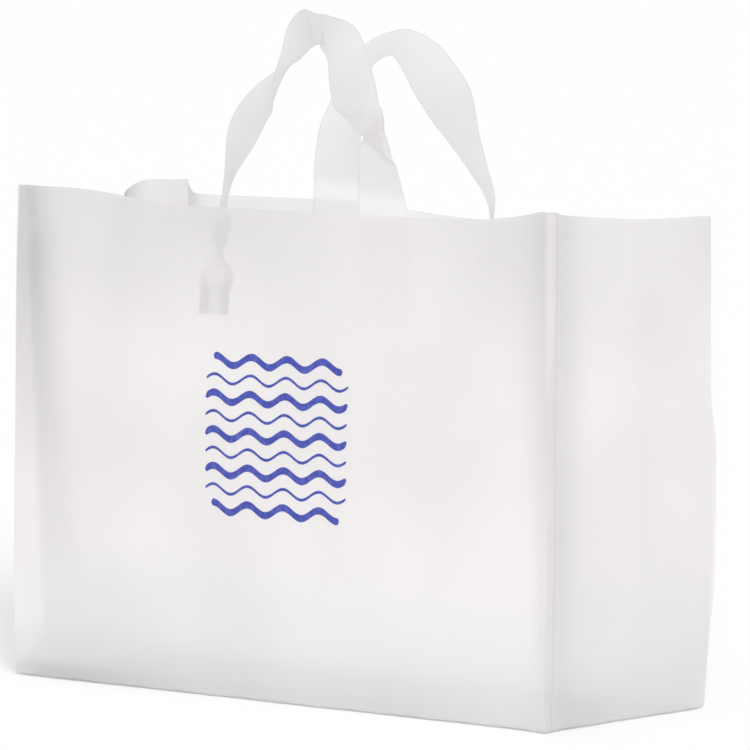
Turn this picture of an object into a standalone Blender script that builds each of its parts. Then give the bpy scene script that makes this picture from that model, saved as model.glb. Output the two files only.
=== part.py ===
# Frosted film carrier bag with side gussets, a flat welded bottom and two soft ribbon handles
import math
from collections import namedtuple

import bmesh
import bpy
from mathutils import Vector

# Film tube, in metres
WIDTH = 0.4064
DEPTH = 0.1524
HEIGHT = 0.3048
FILM = 0.0006
GAP = 0.0004

# How the soft walls stand: the mouth and the base are both a little skewed, and the creases bow out
MOUTH_SHEAR = 0.0034
MOUTH_SPREAD = 0.0026
BASE_SHEAR = 0.0024
BASE_SPREAD = 0.0018
CREASE_BOW = 0.0028
FOOT_ROUND = 0.0015
FRONT_BELLY = 0.0065
BACK_BELLY = 0.0065
MOUTH_BELLY = 0.0015
SIDE_BELLY = 0.0025

# Creases: the pinched front right one, the rolled back right one, and how far its top is pulled in
RIDGE = 0.0042
RIDGE_REACH = 0.0110
RIDGE_SIDE = 0.0022
RIDGE_SIDE_REACH = 0.0060
ROLL = 0.0055
ROLL_REACH = 0.0080
PULL_IN = 0.0008
PULL_FORWARD = 0.0019

# Groove beside the front left crease: below the knee it runs to the corner as a diagonal fold
GROOVE_DEEP = 0.0040
GROOVE_KNEE = 0.0290
GROOVE_KNEE_DEEP = 0.0022
GROOVE_LOW_PLACE = 0.0230
GROOVE_TOP_PLACE = 0.0040
GROOVE_LEFT = 0.0075
GROOVE_RIGHT = 0.0150

# Gussets: the tucked fold and the bulge behind it on the left, the flattened fold on the right
LEFT_FOLD = 0.0200
LEFT_BULGE = 0.0098
LEFT_BULGE_PLACE = 0.44
RIGHT_FOLD_RISE = 0.0012
RIGHT_FOLD_REACH = 0.0090

# Top edge: heights above or below the nominal bag height
FRONT_LEFT_RISE = 0.0012
FRONT_RIGHT_DROP = 0.0015
BACK_DROP = 0.0078
BACK_LEFT_RISE = 0.0016
FRONT_DIP = 0.0072
PEAK_REACH = 0.0030
LEFT_DIP = 0.0092

# Welded seam across the middle of the floor
SEAM_WIDTH = 0.0050
SEAM_RISE = 0.0006

# Ribbon handles, welded inside the front and back walls
RIBBON_WIDTH = 0.0380
RIBBON_FILM = 0.0006
HANDLE_SPAN = 0.1270
HANDLE_OFFSET = 0.0165
LOOP_RISE = 0.1040
WELD_DROP = 0.0715
WELD_HEIGHT = 0.0260
GATHERED = 0.62
ROLL_SHARE = 0.26

# Mesh steps
FRONT_STEPS = 28
SIDE_STEPS = 7
RIBBON_STEPS = 72
ACROSS_STEPS = 9
SECTION_PARTS = 4

# across: share of the span from the handle's middle. above: share of the loop's rise above the mouth.
# inset: how far in from the wall, as a share of the ribbon's width.
# turn and tilt: heading and pitch of the ribbon's width, in degrees.
# curl: how far the film is rolled across its width, in degrees. wide: share of the full ribbon width.
# fold: where across the width the film turns back on itself, from below 0 and above 1, outside it.
Station = namedtuple("Station", "across above inset turn tilt curl wide fold", defaults=(1.0, 2.0))

FRONT_LOOP = (
    Station(-0.530, -0.30, 0.237, -30, 0, 60, 0.85),
    Station(-0.552, -0.064, 0.395, -45, 2, 15),
    Station(-0.524, 0.123, 0.408, -44, -2, 15),
    Station(-0.466, 0.338, 0.447, -27, -12, 15),
    Station(-0.403, 0.477, 0.474, -24, -13, 15),
    Station(-0.344, 0.563, 0.513, -36, -23, 25),
    Station(-0.293, 0.639, 0.553, -53, -23, 40),
    Station(-0.255, 0.713, 0.579, -62, -7, 40),
    Station(-0.211, 0.812, 0.605, -67, 10, 20),
    Station(-0.164, 0.920, 0.605, -72, 26, 10),
    Station(-0.099, 0.984, 0.605, -69, 34, 6),
    Station(-0.022, 0.967, 0.584, -66, 33, 4),
    Station(-0.008, 0.964, 0.574, -44, 30, 6),
    Station(0.099, 0.888, 0.553, -21, 29, 15),
    Station(0.170, 0.680, 0.500, -8, 8, 15, 1.0, 1.60),
    Station(0.235, 0.538, 0.368, -6, 0, 10, 1.0, 1.05),
    Station(0.286, 0.465, 0.408, -6, 0, 10, 1.0, 0.80),
    Station(0.311, 0.382, 0.463, -8, 0, 10, 1.0, 0.52),
    Station(0.322, 0.310, 0.500, -12, 0, 10, 1.0, 0.28),
    Station(0.345, 0.225, 0.395, -22, 0, 10, 1.0, -0.05),
    Station(0.424, 0.085, 0.158, -12, 1, 15, 1.0, -0.50),
    Station(0.477, -0.057, 0.032, -3, 1, 5, 1.0, -1.00),
)
BACK_LOOP = (
    Station(-0.480, -0.06, 0.037, 0, 0, 5),
    Station(-0.472, 0.10, 0.089, -3, 0, 10),
    Station(-0.432, 0.32, 0.195, -8, -10, 15),
    Station(-0.375, 0.46, 0.263, -17, -19, 15),
    Station(-0.297, 0.66, 0.342, -28, -22, 15),
    Station(-0.208, 0.80, 0.421, -46, -23, 15),
    Station(-0.100, 0.865, 0.474, -59, -25, 15),
    Station(0.016, 0.88, 0.526, -73, -25, 20),
    Station(0.135, 0.80, 0.566, -94, -23, 20),
    Station(0.240, 0.66, 0.579, -105, -23, 15),
    Station(0.323, 0.53, 0.579, -101, -24, 15),
    Station(0.395, 0.35, 0.553, -84, -10, 15),
    Station(0.480, 0.16, 0.526, -70, -6, 20),
    Station(0.548, -0.04, 0.474, -61, 3, 25),
    Station(0.540, -0.30, 0.342, -35, 0, 30),
)


def clear_scene():
    for old in list(bpy.data.objects):
        bpy.data.objects.remove(old, do_unlink=True)


def mix(a, b, share):
    return a + (b - a) * share


def ease(low, high, value):
    share = min(1.0, max(0.0, (value - low) / (high - low)))
    return share * share * (3.0 - 2.0 * share)


def bump(value, middle, half):
    """A smooth hill of height 1 over middle."""
    return math.exp(-(((value - middle) / half) ** 2))


def crease_place(side_x, side_y, level):
    """Where a vertical crease stands in plan at a level from 0, the base, to 1, the mouth."""
    bow = CREASE_BOW * math.sin(math.pi * level**0.6) * math.sqrt(0.5)
    shear = mix(BASE_SHEAR, MOUTH_SHEAR, level)
    spread = mix(BASE_SPREAD, MOUTH_SPREAD, level)
    x = side_x * (WIDTH / 2 + bow) + side_y * shear
    y = side_y * (DEPTH / 2 + spread + bow)
    if side_x > 0 and side_y > 0:
        x -= PULL_IN * level
        y -= PULL_FORWARD * level
    return x, y


def belly_share(level):
    """How much of a wall's belly shows at a level."""
    return ease(0.0, 0.30, level) * (1.0 - ease(0.55, 1.0, level))


def groove(from_left, level):
    """The depth of the groove beside the front left crease."""
    z = level * HEIGHT
    if z < GROOVE_KNEE:
        place = GROOVE_LOW_PLACE * z / GROOVE_KNEE
        deep = GROOVE_KNEE_DEEP * z / GROOVE_KNEE
    else:
        place = mix(GROOVE_LOW_PLACE, GROOVE_TOP_PLACE, (z - GROOVE_KNEE) / (HEIGHT - GROOVE_KNEE))
        deep = mix(GROOVE_KNEE_DEEP, GROOVE_DEEP, ease(0.1, 1.0, level))
    gap = from_left - place
    return deep * math.exp(gap / GROOVE_LEFT if gap < 0 else -gap / GROOVE_RIGHT)


def front_relief(share, level):
    """How far the front wall stands out in front of the line between its creases."""
    from_left = share * WIDTH
    from_right = (1.0 - share) * WIDTH
    out = FRONT_BELLY * belly_share(level) + MOUTH_BELLY * level
    out *= math.sin(math.pi * share)
    out -= groove(from_left, level)
    return out + RIDGE * math.exp(-from_right / RIDGE_REACH)


def back_relief(share, level):
    """The same for the back wall, with share 0 at the back right crease."""
    from_right = share * WIDTH
    out = BACK_BELLY * belly_share(level) + MOUTH_BELLY * level
    out *= math.sin(math.pi * share)
    rolled = ROLL * ease(0.08, 0.30, level) * (1.0 - ease(0.52, 0.64, level))
    return out + rolled * math.exp(-from_right / ROLL_REACH)


def right_relief(share, level):
    """The same for the right gusset, with share 0 at the front right crease."""
    ridge = RIDGE_SIDE * math.exp(-share * DEPTH / RIDGE_SIDE_REACH)
    fold = RIGHT_FOLD_RISE * math.exp(-abs(share - 0.5) * DEPTH / RIGHT_FOLD_REACH) * ease(0.0, 0.25, level)
    return SIDE_BELLY * math.sin(math.pi * share) * belly_share(level) + ridge + fold


def left_relief(share, level):
    """The left gusset still holds its factory fold, which tucks in towards the mouth."""
    tent = math.sqrt((2.0 * share - 1.0) ** 2 + 0.03)
    tuck = max(0.0, 1.0 - (tent - math.sqrt(0.03)) / (math.sqrt(1.03) - math.sqrt(0.03)))
    half = 0.09 if share < LEFT_BULGE_PLACE else 0.035
    bulge = LEFT_BULGE * bump(share, LEFT_BULGE_PLACE, half) * ease(0.55, 1.0, level)
    return bulge - LEFT_FOLD * tuck * ease(0.10, 1.0, level)


def front_top(share):
    plateau = ease(0.10, 0.34, share) * (1.0 - ease(0.76, 1.0, share))
    return HEIGHT + mix(FRONT_LEFT_RISE, -FRONT_RIGHT_DROP, share) - FRONT_DIP * plateau


def right_top(share):
    fall = BACK_DROP - FRONT_RIGHT_DROP
    return HEIGHT - BACK_DROP + fall * (1.0 - share) ** 2


def back_top(share):
    peak = math.exp(-(1.0 - share) * WIDTH / PEAK_REACH)
    return HEIGHT - BACK_DROP + (BACK_DROP + BACK_LEFT_RISE) * peak


def left_top(share):
    dip = LEFT_DIP * ease(0.34, 0.50, share) * (1.0 - ease(0.50, 1.0, share))
    return HEIGHT + mix(BACK_LEFT_RISE, FRONT_LEFT_RISE, share) - dip


# Each wall runs anticlockwise seen from above: its first and last crease, outward side, relief and top
Wall = namedtuple("Wall", "start end out relief top shares")


def wall_shares():
    """Places along a wall, closer together towards its creases."""
    shares = []
    for step in range(FRONT_STEPS):
        even = step / FRONT_STEPS
        shares.append(mix(even, (1.0 - math.cos(math.pi * even)) / 2, 0.8))
    return shares


def gusset_shares():
    """The same for a gusset, with lines beside its fold, where the floor's seam meets it."""
    half_seam = SEAM_WIDTH / 2 / DEPTH
    first = []
    for step in range(SIDE_STEPS):
        even = step / SIDE_STEPS
        first.append(mix(even, 1.0 - math.cos(math.pi * even / 2), 0.4) * (0.5 - 4.0 * half_seam))
    first += [0.5 - 3.4 * half_seam, 0.5 - 1.5 * half_seam, 0.5 - half_seam]
    mirrored = [1.0 - share for share in reversed(first)]
    return first + [0.5] + mirrored[:-1]


def make_walls():
    return (
        Wall((-1, -1), (1, -1), (0, -1), front_relief, front_top, wall_shares()),
        Wall((1, -1), (1, 1), (1, 0), right_relief, right_top, gusset_shares()),
        Wall((1, 1), (-1, 1), (0, 1), back_relief, back_top, wall_shares()),
        Wall((-1, 1), (-1, -1), (-1, 0), left_relief, left_top, gusset_shares()),
    )


def wall_point(walls, number, share, level):
    """A point of the outer face in plan, and the height of the wall's top edge there."""
    wall = walls[number]
    x0, y0 = crease_place(*wall.start, level)
    x1, y1 = crease_place(*wall.end, level)
    out = wall.relief(share, level)
    x = mix(x0, x1, share) + wall.out[0] * out
    y = mix(y0, y1, share) + wall.out[1] * out
    if share == 0.0:
        before = walls[number - 1]
        last = before.relief(1.0, level)
        x += before.out[0] * last
        y += before.out[1] * last
    return x, y, wall.top(share)


def outer_ring(walls, level):
    """The outer face at one level, as a closed ring of points that starts at the front left crease."""
    ring = []
    for number, wall in enumerate(walls):
        for share in wall.shares:
            x, y, top = wall_point(walls, number, share, level)
            ring.append(Vector((x, y, top * level)))
    return ring


def shrunk_ring(ring, amount):
    """A ring moved inwards by amount, measured square to its sides."""
    moved = []
    for place, point in enumerate(ring):
        before = (point - ring[place - 1]).to_2d().normalized()
        after = (ring[(place + 1) % len(ring)] - point).to_2d().normalized()
        inward = Vector((-before.y - after.y, before.x + after.x)).normalized()
        reach = amount / max(0.35, inward.dot(Vector((-after.y, after.x))))
        moved.append(Vector((point.x + inward.x * reach, point.y + inward.y * reach, point.z)))
    return moved


def wall_levels():
    """Levels from the base to the mouth, closer together near the base."""
    levels = [0.0, FOOT_ROUND / HEIGHT]
    steps = 15
    for step in range(1, steps + 1):
        even = step / steps
        levels.append(mix(even, even * even, 0.35))
    return levels


def join_rings(bm, lower, upper):
    """Bridges two rings with quads that face outwards when both run anticlockwise."""
    count = len(lower)
    for i in range(count):
        j = (i + 1) % count
        bm.faces.new((lower[i], lower[j], upper[j], upper[i]))


def lay_floor(bm, ring, along, across):
    """Fills the inner bottom ring with a grid, and raises the welded seam along its middle."""
    grid = {}
    for i in range(along + 1):
        grid[i, 0] = ring[i]
        grid[i, across] = ring[2 * along + across - i]
    for j in range(1, across):
        grid[along, j] = ring[along + j]
        grid[0, j] = ring[2 * along + 2 * across - j]
    shares = gusset_shares() + [1.0]
    middle = across // 2
    lengths = wall_shares() + [1.0]
    for i in range(1, along):
        for j in range(1, across):
            u, v = lengths[i], shares[j]
            side = grid[0, j].co * (1 - u) + grid[along, j].co * u
            wall = grid[i, 0].co * (1 - v) + grid[i, across].co * v
            corner = (grid[0, 0].co * (1 - u) + grid[along, 0].co * u) * (1 - v)
            corner += (grid[0, across].co * (1 - u) + grid[along, across].co * u) * v
            place = side + wall - corner
            if abs(j - middle) <= 1:
                place.z += SEAM_RISE
            grid[i, j] = bm.verts.new(place)
    for i in range(along):
        for j in range(across):
            bm.faces.new((grid[i, j], grid[i + 1, j], grid[i + 1, j + 1], grid[i, j + 1]))


def make_bag_mesh(walls):
    """The film as one closed skin: outer walls, rim, inner walls, floor and underside."""
    bm = bmesh.new()
    outer = []
    inner = []
    for level in wall_levels():
        ring = outer_ring(walls, level)
        inside = shrunk_ring(ring, FILM)
        if level == 0.0:
            ring = shrunk_ring(ring, FOOT_ROUND)
        for point in inside:
            point.z = max(point.z, FILM)
        outer.append([bm.verts.new(point) for point in ring])
        if level == 0.0 or inside[0].z > 2 * FILM:
            inner.append([bm.verts.new(point) for point in inside])
    for lower, upper in zip(outer, outer[1:]):
        join_rings(bm, lower, upper)
    for lower, upper in zip(inner, inner[1:]):
        join_rings(bm, upper, lower)
    join_rings(bm, outer[-1], inner[-1])
    bm.faces.new(list(reversed(outer[0])))
    lay_floor(bm, inner[0], FRONT_STEPS, len(gusset_shares()))
    mesh = bpy.data.meshes.new("bag_body")
    bmesh.ops.recalc_face_normals(bm, faces=bm.faces)
    bm.to_mesh(mesh)
    bm.free()
    return mesh


def wall_face(side_y, x, z):
    """The y of a main wall's outer face at a place on it, with side_y -1 at the front and 1 at the back."""
    relief, top = (front_relief, front_top) if side_y < 0 else (back_relief, back_top)
    share = (x * -side_y + WIDTH / 2) / WIDTH
    level = 1.0
    for _ in range(3):
        share = min(1.0, max(0.0, share))
        level = min(1.0, z / top(share))
        x0, y0 = crease_place(side_y, side_y, level)
        x1, y1 = crease_place(-side_y, side_y, level)
        share = (x - x0) / (x1 - x0)
    return mix(y0, y1, share) + side_y * relief(share, level)


def curve_value(values, place):
    """A value on the smooth curve through evenly numbered values."""
    first = min(int(place), len(values) - 2)
    t = place - first
    p0 = values[max(first - 1, 0)]
    p1 = values[first]
    p2 = values[first + 1]
    p3 = values[min(first + 2, len(values) - 1)]
    rise = (p2 - p0) / 2
    fall = (p3 - p1) / 2
    return (
        p1 * (1 - 3 * t * t + 2 * t**3)
        + rise * (t - 2 * t * t + t**3)
        + fall * (t**3 - t * t)
        + p2 * (3 * t * t - 2 * t**3)
    )


def foot_stations(side, wide, fold):
    """The welded end of a ribbon, from its lower edge up: flat on the wall, side -1 left and 1 right."""
    low = -WELD_DROP / LOOP_RISE
    high = -(WELD_DROP - WELD_HEIGHT) / LOOP_RISE
    return [Station(0.5 * side, mix(low, high, share), 0, 0, 0, 0, wide, fold) for share in (0.0, 0.5, 1.0)]


def front_stations():
    return foot_stations(-1, GATHERED, 2.0) + list(FRONT_LOOP) + foot_stations(1, 1.0, -1.0)[::-1]


def back_stations():
    return foot_stations(-1, 1.0, 2.0) + list(BACK_LOOP) + foot_stations(1, 1.0, 2.0)[::-1]


def cross_section(v):
    """Steps along and behind the ribbon's width, about their middle: an arc with a rolled fold in it."""
    length = RIBBON_WIDTH * v.wide / (ACROSS_STEPS * SECTION_PARTS)
    points = [(0.0, 0.0)]
    for k in range(ACROSS_STEPS * SECTION_PARTS):
        share = (k + 0.5) / (ACROSS_STEPS * SECTION_PARTS)
        angle = math.radians(v.curl) * (share - 0.5)
        angle += math.pi * ease(v.fold - ROLL_SHARE / 2, v.fold + ROLL_SHARE / 2, share)
        u, w = points[-1]
        points.append((u + length * math.cos(angle), w + length * math.sin(angle)))
    middle_u = sum(u for u, _ in points) / len(points)
    middle_w = sum(w for _, w in points) / len(points)
    return [(u - middle_u, w - middle_w) for u, w in points[::SECTION_PARTS]]


def ribbon_rows(stations, side_y):
    """Rows of points across the ribbon's middle surface, from its first weld to its last."""
    tracks = [[station[i] for station in stations] for i in range(len(Station._fields))]
    offset = -side_y * HANDLE_OFFSET
    flat = GAP + RIBBON_FILM / 2
    values = []
    for step in range(RIBBON_STEPS + 1):
        place = step / RIBBON_STEPS * (len(stations) - 1)
        values.append(Station(*(curve_value(track, place) for track in tracks)))
    middles = []
    for v in values:
        middles.append(Vector((offset + v.across * HANDLE_SPAN, 0.0, HEIGHT + v.above * LOOP_RISE)))
    rows = []
    for number, v in enumerate(values):
        before = middles[max(number - 1, 0)]
        after = middles[min(number + 1, RIBBON_STEPS)]
        turn, tilt = math.radians(v.turn), math.radians(v.tilt)
        width = Vector((math.cos(tilt) * math.cos(turn), math.cos(tilt) * math.sin(turn), math.sin(tilt)))
        behind = width.cross(after - before).normalized()
        row = []
        for u, w in cross_section(v):
            place = middles[number] + width * u + behind * w
            inset = max(v.inset * RIBBON_WIDTH - side_y * place.y, flat)
            place.y = wall_face(side_y, place.x, place.z) - side_y * (FILM + inset)
            row.append(place)
        rows.append(row)
    return rows


def surface_normal(rows, i, k):
    """The direction square to the rows' surface at one of its points."""
    along = rows[min(i + 1, len(rows) - 1)][k] - rows[max(i - 1, 0)][k]
    across = rows[i][min(k + 1, ACROSS_STEPS)] - rows[i][max(k - 1, 0)]
    return along.cross(across).normalized()


def make_ribbon_mesh(name, rows):
    """A closed thin strip that has half the film on each side of the rows."""
    bm = bmesh.new()
    sheets = []
    for sign in (1, -1):
        half = sign * RIBBON_FILM / 2
        sheet = []
        for i, row in enumerate(rows):
            moved = [place + surface_normal(rows, i, k) * half for k, place in enumerate(row)]
            sheet.append([bm.verts.new(place) for place in moved])
        sheets.append(sheet)
    upper, lower = sheets
    last = ACROSS_STEPS
    for i in range(len(rows) - 1):
        for k in range(last):
            bm.faces.new((upper[i][k], upper[i][k + 1], upper[i + 1][k + 1], upper[i + 1][k]))
            bm.faces.new((lower[i][k], lower[i + 1][k], lower[i + 1][k + 1], lower[i][k + 1]))
        bm.faces.new((upper[i][0], upper[i + 1][0], lower[i + 1][0], lower[i][0]))
        bm.faces.new((upper[i][last], lower[i][last], lower[i + 1][last], upper[i + 1][last]))
    for k in range(last):
        bm.faces.new((upper[0][k], lower[0][k], lower[0][k + 1], upper[0][k + 1]))
        bm.faces.new((upper[-1][k], upper[-1][k + 1], lower[-1][k + 1], lower[-1][k]))
    bmesh.ops.recalc_face_normals(bm, faces=bm.faces)
    mesh = bpy.data.meshes.new(name)
    bm.to_mesh(mesh)
    bm.free()
    return mesh


def film_material(name, colour, roughness):
    """Frosted polyethylene film: milky, dull on the outside and slightly see-through."""
    material = bpy.data.materials.new(name)
    material.use_nodes = True
    shader = material.node_tree.nodes["Principled BSDF"]
    shader.inputs["Base Color"].default_value = (*colour, 1.0)
    shader.inputs["Roughness"].default_value = roughness
    shader.inputs["Metallic"].default_value = 0.0
    shader.inputs["Transmission Weight"].default_value = 0.25
    return material


def add_piece(name, mesh, material):
    piece = bpy.data.objects.new(name, mesh)
    bpy.context.scene.collection.objects.link(piece)
    mesh.materials.append(material)
    mesh.shade_smooth()
    mesh.set_sharp_from_angle(angle=math.radians(35))
    return piece


def main():
    clear_scene()
    walls = make_walls()
    frosted = film_material("frosted_film", (0.84, 0.83, 0.84), 0.45)
    ribbon = film_material("ribbon_film", (0.80, 0.79, 0.80), 0.38)
    add_piece("bag_body", make_bag_mesh(walls), frosted)
    front = ribbon_rows(front_stations(), -1)
    back = ribbon_rows(back_stations(), 1)
    add_piece("front_handle", make_ribbon_mesh("front_handle", front), ribbon)
    add_piece("back_handle", make_ribbon_mesh("back_handle", back), ribbon)


main()
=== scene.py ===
"""The looks of a frosted film carrier bag that stands open, with two soft ribbon handles."""

import logging
import math
from dataclasses import dataclass, field
from enum import Enum
from typing import Callable, NamedTuple, Sequence

import bpy
from mathutils import Matrix, Vector


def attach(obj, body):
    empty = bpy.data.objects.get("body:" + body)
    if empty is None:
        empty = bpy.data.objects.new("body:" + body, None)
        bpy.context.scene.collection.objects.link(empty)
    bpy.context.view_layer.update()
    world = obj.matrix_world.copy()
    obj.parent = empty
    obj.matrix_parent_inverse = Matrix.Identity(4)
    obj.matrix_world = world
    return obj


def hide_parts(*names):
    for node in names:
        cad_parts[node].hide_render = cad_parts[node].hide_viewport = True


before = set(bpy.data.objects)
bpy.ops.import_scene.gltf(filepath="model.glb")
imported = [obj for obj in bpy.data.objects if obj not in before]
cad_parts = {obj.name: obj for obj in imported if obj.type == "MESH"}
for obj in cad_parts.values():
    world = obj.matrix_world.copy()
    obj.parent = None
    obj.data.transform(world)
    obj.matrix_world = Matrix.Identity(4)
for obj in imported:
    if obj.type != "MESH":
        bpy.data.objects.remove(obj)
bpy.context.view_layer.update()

LOG = logging.getLogger("carrier_bag")
IMAGE_SIDE = 750
# The mesh attribute that carries the painted shade.
SHADE = "painted_film_shade"
# A painted shade of 1 darkens the film by this many levels of 255.
SHADE_LEVELS = 60.0
ALWAYS = (-2.0, -1.0)
NEVER = (2.0, 3.0)


def mix(low: float, high: float, share: float) -> float:
    """The value at share of the way from low to high."""
    return low + (high - low) * share


def ease(low: float, high: float, value: float) -> float:
    """A smooth step from 0 at low to 1 at high."""
    share = min(1.0, max(0.0, (value - low) / (high - low)))
    return share * share * (3.0 - 2.0 * share)


def bump(value: float, middle: float, half: float) -> float:
    """A smooth hill of height 1 over middle, with the given half width."""
    return math.exp(-(((value - middle) / half) ** 2))


def linear(hex_colour: str, alpha: float = 1.0) -> tuple[float, float, float, float]:
    """Turns an sRGB hex value to the linear colour that shaders take.

    Args:
        hex_colour: Six hex digits, red first.
        alpha: The fourth value to put after the colour.

    Returns:
        Linear red, green and blue, and alpha.
    """
    values = []
    for start in (0, 2, 4):
        part = int(hex_colour[start : start + 2], 16) / 255.0
        values.append(part / 12.92 if part <= 0.04045 else ((part + 0.055) / 1.055) ** 2.4)
    return values[0], values[1], values[2], alpha


def add_node(
    tree: bpy.types.NodeTree, kind: str, settings: dict | None = None, inputs: dict | None = None
) -> bpy.types.Node:
    """Adds a shader node, sets its properties and sets or links its inputs.

    Args:
        tree: The material's node tree.
        kind: The node's type name.
        settings: Property names and their values.
        inputs: Socket names or numbers, each with a value or with the output socket to link.

    Returns:
        The new node.
    """
    node = tree.nodes.new(kind)
    for name, value in (settings or {}).items():
        setattr(node, name, value)
    for name, value in (inputs or {}).items():
        if isinstance(value, bpy.types.NodeSocket):
            tree.links.new(value, node.inputs[name])
        else:
            node.inputs[name].default_value = value
    return node


def add_ramp(
    tree: bpy.types.NodeTree, source: bpy.types.NodeSocket, stops: Sequence[tuple[float, str]]
) -> bpy.types.NodeSocket:
    """Adds a colour ramp over a value.

    Args:
        tree: The material's node tree.
        source: The socket with the value.
        stops: Places from 0 to 1, each with its sRGB hex colour.

    Returns:
        The ramp's colour socket.
    """
    node = add_node(tree, "ShaderNodeValToRGB", inputs={"Fac": source})
    ramp = node.color_ramp
    ramp.interpolation = "EASE"
    while len(ramp.elements) < len(stops):
        ramp.elements.new(0.5)
    for element, (place, _) in zip(ramp.elements, stops):
        element.position = place
    for element, (_, colour) in zip(ramp.elements, stops):
        element.color = linear(colour)
    return node.outputs["Color"]


@dataclass(frozen=True)
class FrostedPolyethylene:
    """Blown low-density polyethylene film, frosted white.

    The eye gets a milky, evenly lit sheet that glows where light comes through it, goes greyer
    where two layers lie together, has only a faint soft sheen, and takes painted shade at creases and foot.
    """

    name: str
    stops: tuple[tuple[float, str], ...]
    glow_hex: str
    glow_share: float = 0.52
    clear_share: float = 0.11
    roughness: float = 0.46
    refraction: float = 1.51
    sheen: float = 0.35
    tint_height: float = 0.42
    # The lines that the die leaves are finer on real film, and are drawn this far apart to show.
    die_line_mm: float = 1.6
    die_line_depth: float = 0.0002
    die_line_strength: float = 0.12
    die_line_stretch: float = 0.02
    cloud_mm: float = 110.0
    cloud_greys: tuple[tuple[float, str], ...] = ((0.32, "F9F9FA"), (0.66, "FFFFFF"))
    # The colour that the painted shade multiplies into the film.
    painted_shade_hex: str = "B6B7B9"

    def material(self) -> bpy.types.Material:
        """Builds the film's material.

        Returns:
            A new material with diffuse, through-lit and slightly clear shares.
        """
        material = bpy.data.materials.new(self.name)
        material.use_nodes = True
        tree = material.node_tree
        tree.nodes.clear()
        place = add_node(tree, "ShaderNodeTexCoord").outputs["Object"]
        axes = add_node(tree, "ShaderNodeSeparateXYZ", inputs={0: place})
        height = add_node(
            tree,
            "ShaderNodeMapRange",
            inputs={"Value": axes.outputs["Z"], "From Min": 0.0, "From Max": self.tint_height},
        ).outputs["Result"]
        tint = add_ramp(tree, height, self.stops)
        clouds = add_node(
            tree,
            "ShaderNodeTexNoise",
            inputs={"Vector": place, "Scale": 1000.0 / self.cloud_mm, "Detail": 2.0, "Roughness": 0.4},
        ).outputs["Fac"]
        cloud_grey = add_ramp(tree, clouds, self.cloud_greys)
        tint = add_node(
            tree,
            "ShaderNodeMix",
            {"data_type": "RGBA", "blend_type": "MULTIPLY"},
            {"Factor": 1.0, "A": tint, "B": cloud_grey},
        ).outputs["Result"]
        tint = self.shaded(tree, tint)
        lines_place = add_node(
            tree, "ShaderNodeMapping", inputs={"Vector": place, "Scale": (1.0, 1.0, self.die_line_stretch)}
        ).outputs["Vector"]
        lines = add_node(
            tree,
            "ShaderNodeTexNoise",
            inputs={"Vector": lines_place, "Scale": 1000.0 / self.die_line_mm, "Detail": 1.0},
        ).outputs["Fac"]
        relief = add_node(
            tree,
            "ShaderNodeBump",
            inputs={"Strength": self.die_line_strength, "Distance": self.die_line_depth, "Height": lines},
        ).outputs["Normal"]
        body = add_node(
            tree,
            "ShaderNodeBsdfPrincipled",
            inputs={
                "Base Color": tint,
                "Roughness": self.roughness,
                "IOR": self.refraction,
                "Specular IOR Level": self.sheen,
                "Normal": relief,
            },
        ).outputs["BSDF"]
        glow_colour = add_node(
            tree,
            "ShaderNodeMix",
            {"data_type": "RGBA", "blend_type": "MULTIPLY"},
            {"Factor": 1.0, "A": tint, "B": linear(self.glow_hex)},
        ).outputs["Result"]
        glow = add_node(tree, "ShaderNodeBsdfTranslucent", inputs={"Color": glow_colour}).outputs["BSDF"]
        film = add_node(
            tree, "ShaderNodeMixShader", inputs={0: self.glow_share, 1: body, 2: glow}
        ).outputs["Shader"]
        clear = add_node(tree, "ShaderNodeBsdfTransparent").outputs["BSDF"]
        film = add_node(
            tree, "ShaderNodeMixShader", inputs={0: self.clear_share, 1: film, 2: clear}
        ).outputs["Shader"]
        add_node(tree, "ShaderNodeOutputMaterial", inputs={"Surface": film})
        return material

    def shaded(self, tree: bpy.types.NodeTree, tint: bpy.types.NodeSocket) -> bpy.types.NodeSocket:
        """Paints shade into the film's colour, by the mesh's painted shade values."""
        share = add_node(tree, "ShaderNodeAttribute", {"attribute_name": SHADE}).outputs["Fac"]
        return add_node(
            tree,
            "ShaderNodeMix",
            {"data_type": "RGBA", "blend_type": "MULTIPLY"},
            {"Factor": share, "A": tint, "B": linear(self.painted_shade_hex)},
        ).outputs["Result"]


@dataclass(frozen=True)
class FlexoInk:
    """Blue ink rolled on the film by a rubber plate.

    The eye gets a flat dark blue with soft sheen and slightly uneven cover.
    """

    name: str = "blue_flexographic_ink"
    deep_hex: str = "2F3A93"
    thin_hex: str = "4A55A8"
    roughness: float = 0.38
    mottle_mm: float = 3.0

    def material(self) -> bpy.types.Material:
        """Builds the ink's material.

        Returns:
            A new material, dark blue with a slight mottle.
        """
        material = bpy.data.materials.new(self.name)
        material.use_nodes = True
        tree = material.node_tree
        tree.nodes.clear()
        place = add_node(tree, "ShaderNodeTexCoord").outputs["Object"]
        mottle = add_node(
            tree,
            "ShaderNodeTexNoise",
            inputs={"Vector": place, "Scale": 1000.0 / self.mottle_mm, "Detail": 3.0},
        ).outputs["Fac"]
        colour = add_ramp(tree, mottle, ((0.35, self.deep_hex), (0.75, self.thin_hex)))
        body = add_node(
            tree,
            "ShaderNodeBsdfPrincipled",
            inputs={"Base Color": colour, "Roughness": self.roughness, "IOR": 1.5},
        ).outputs["BSDF"]
        add_node(tree, "ShaderNodeOutputMaterial", inputs={"Surface": body})
        return material


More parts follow.
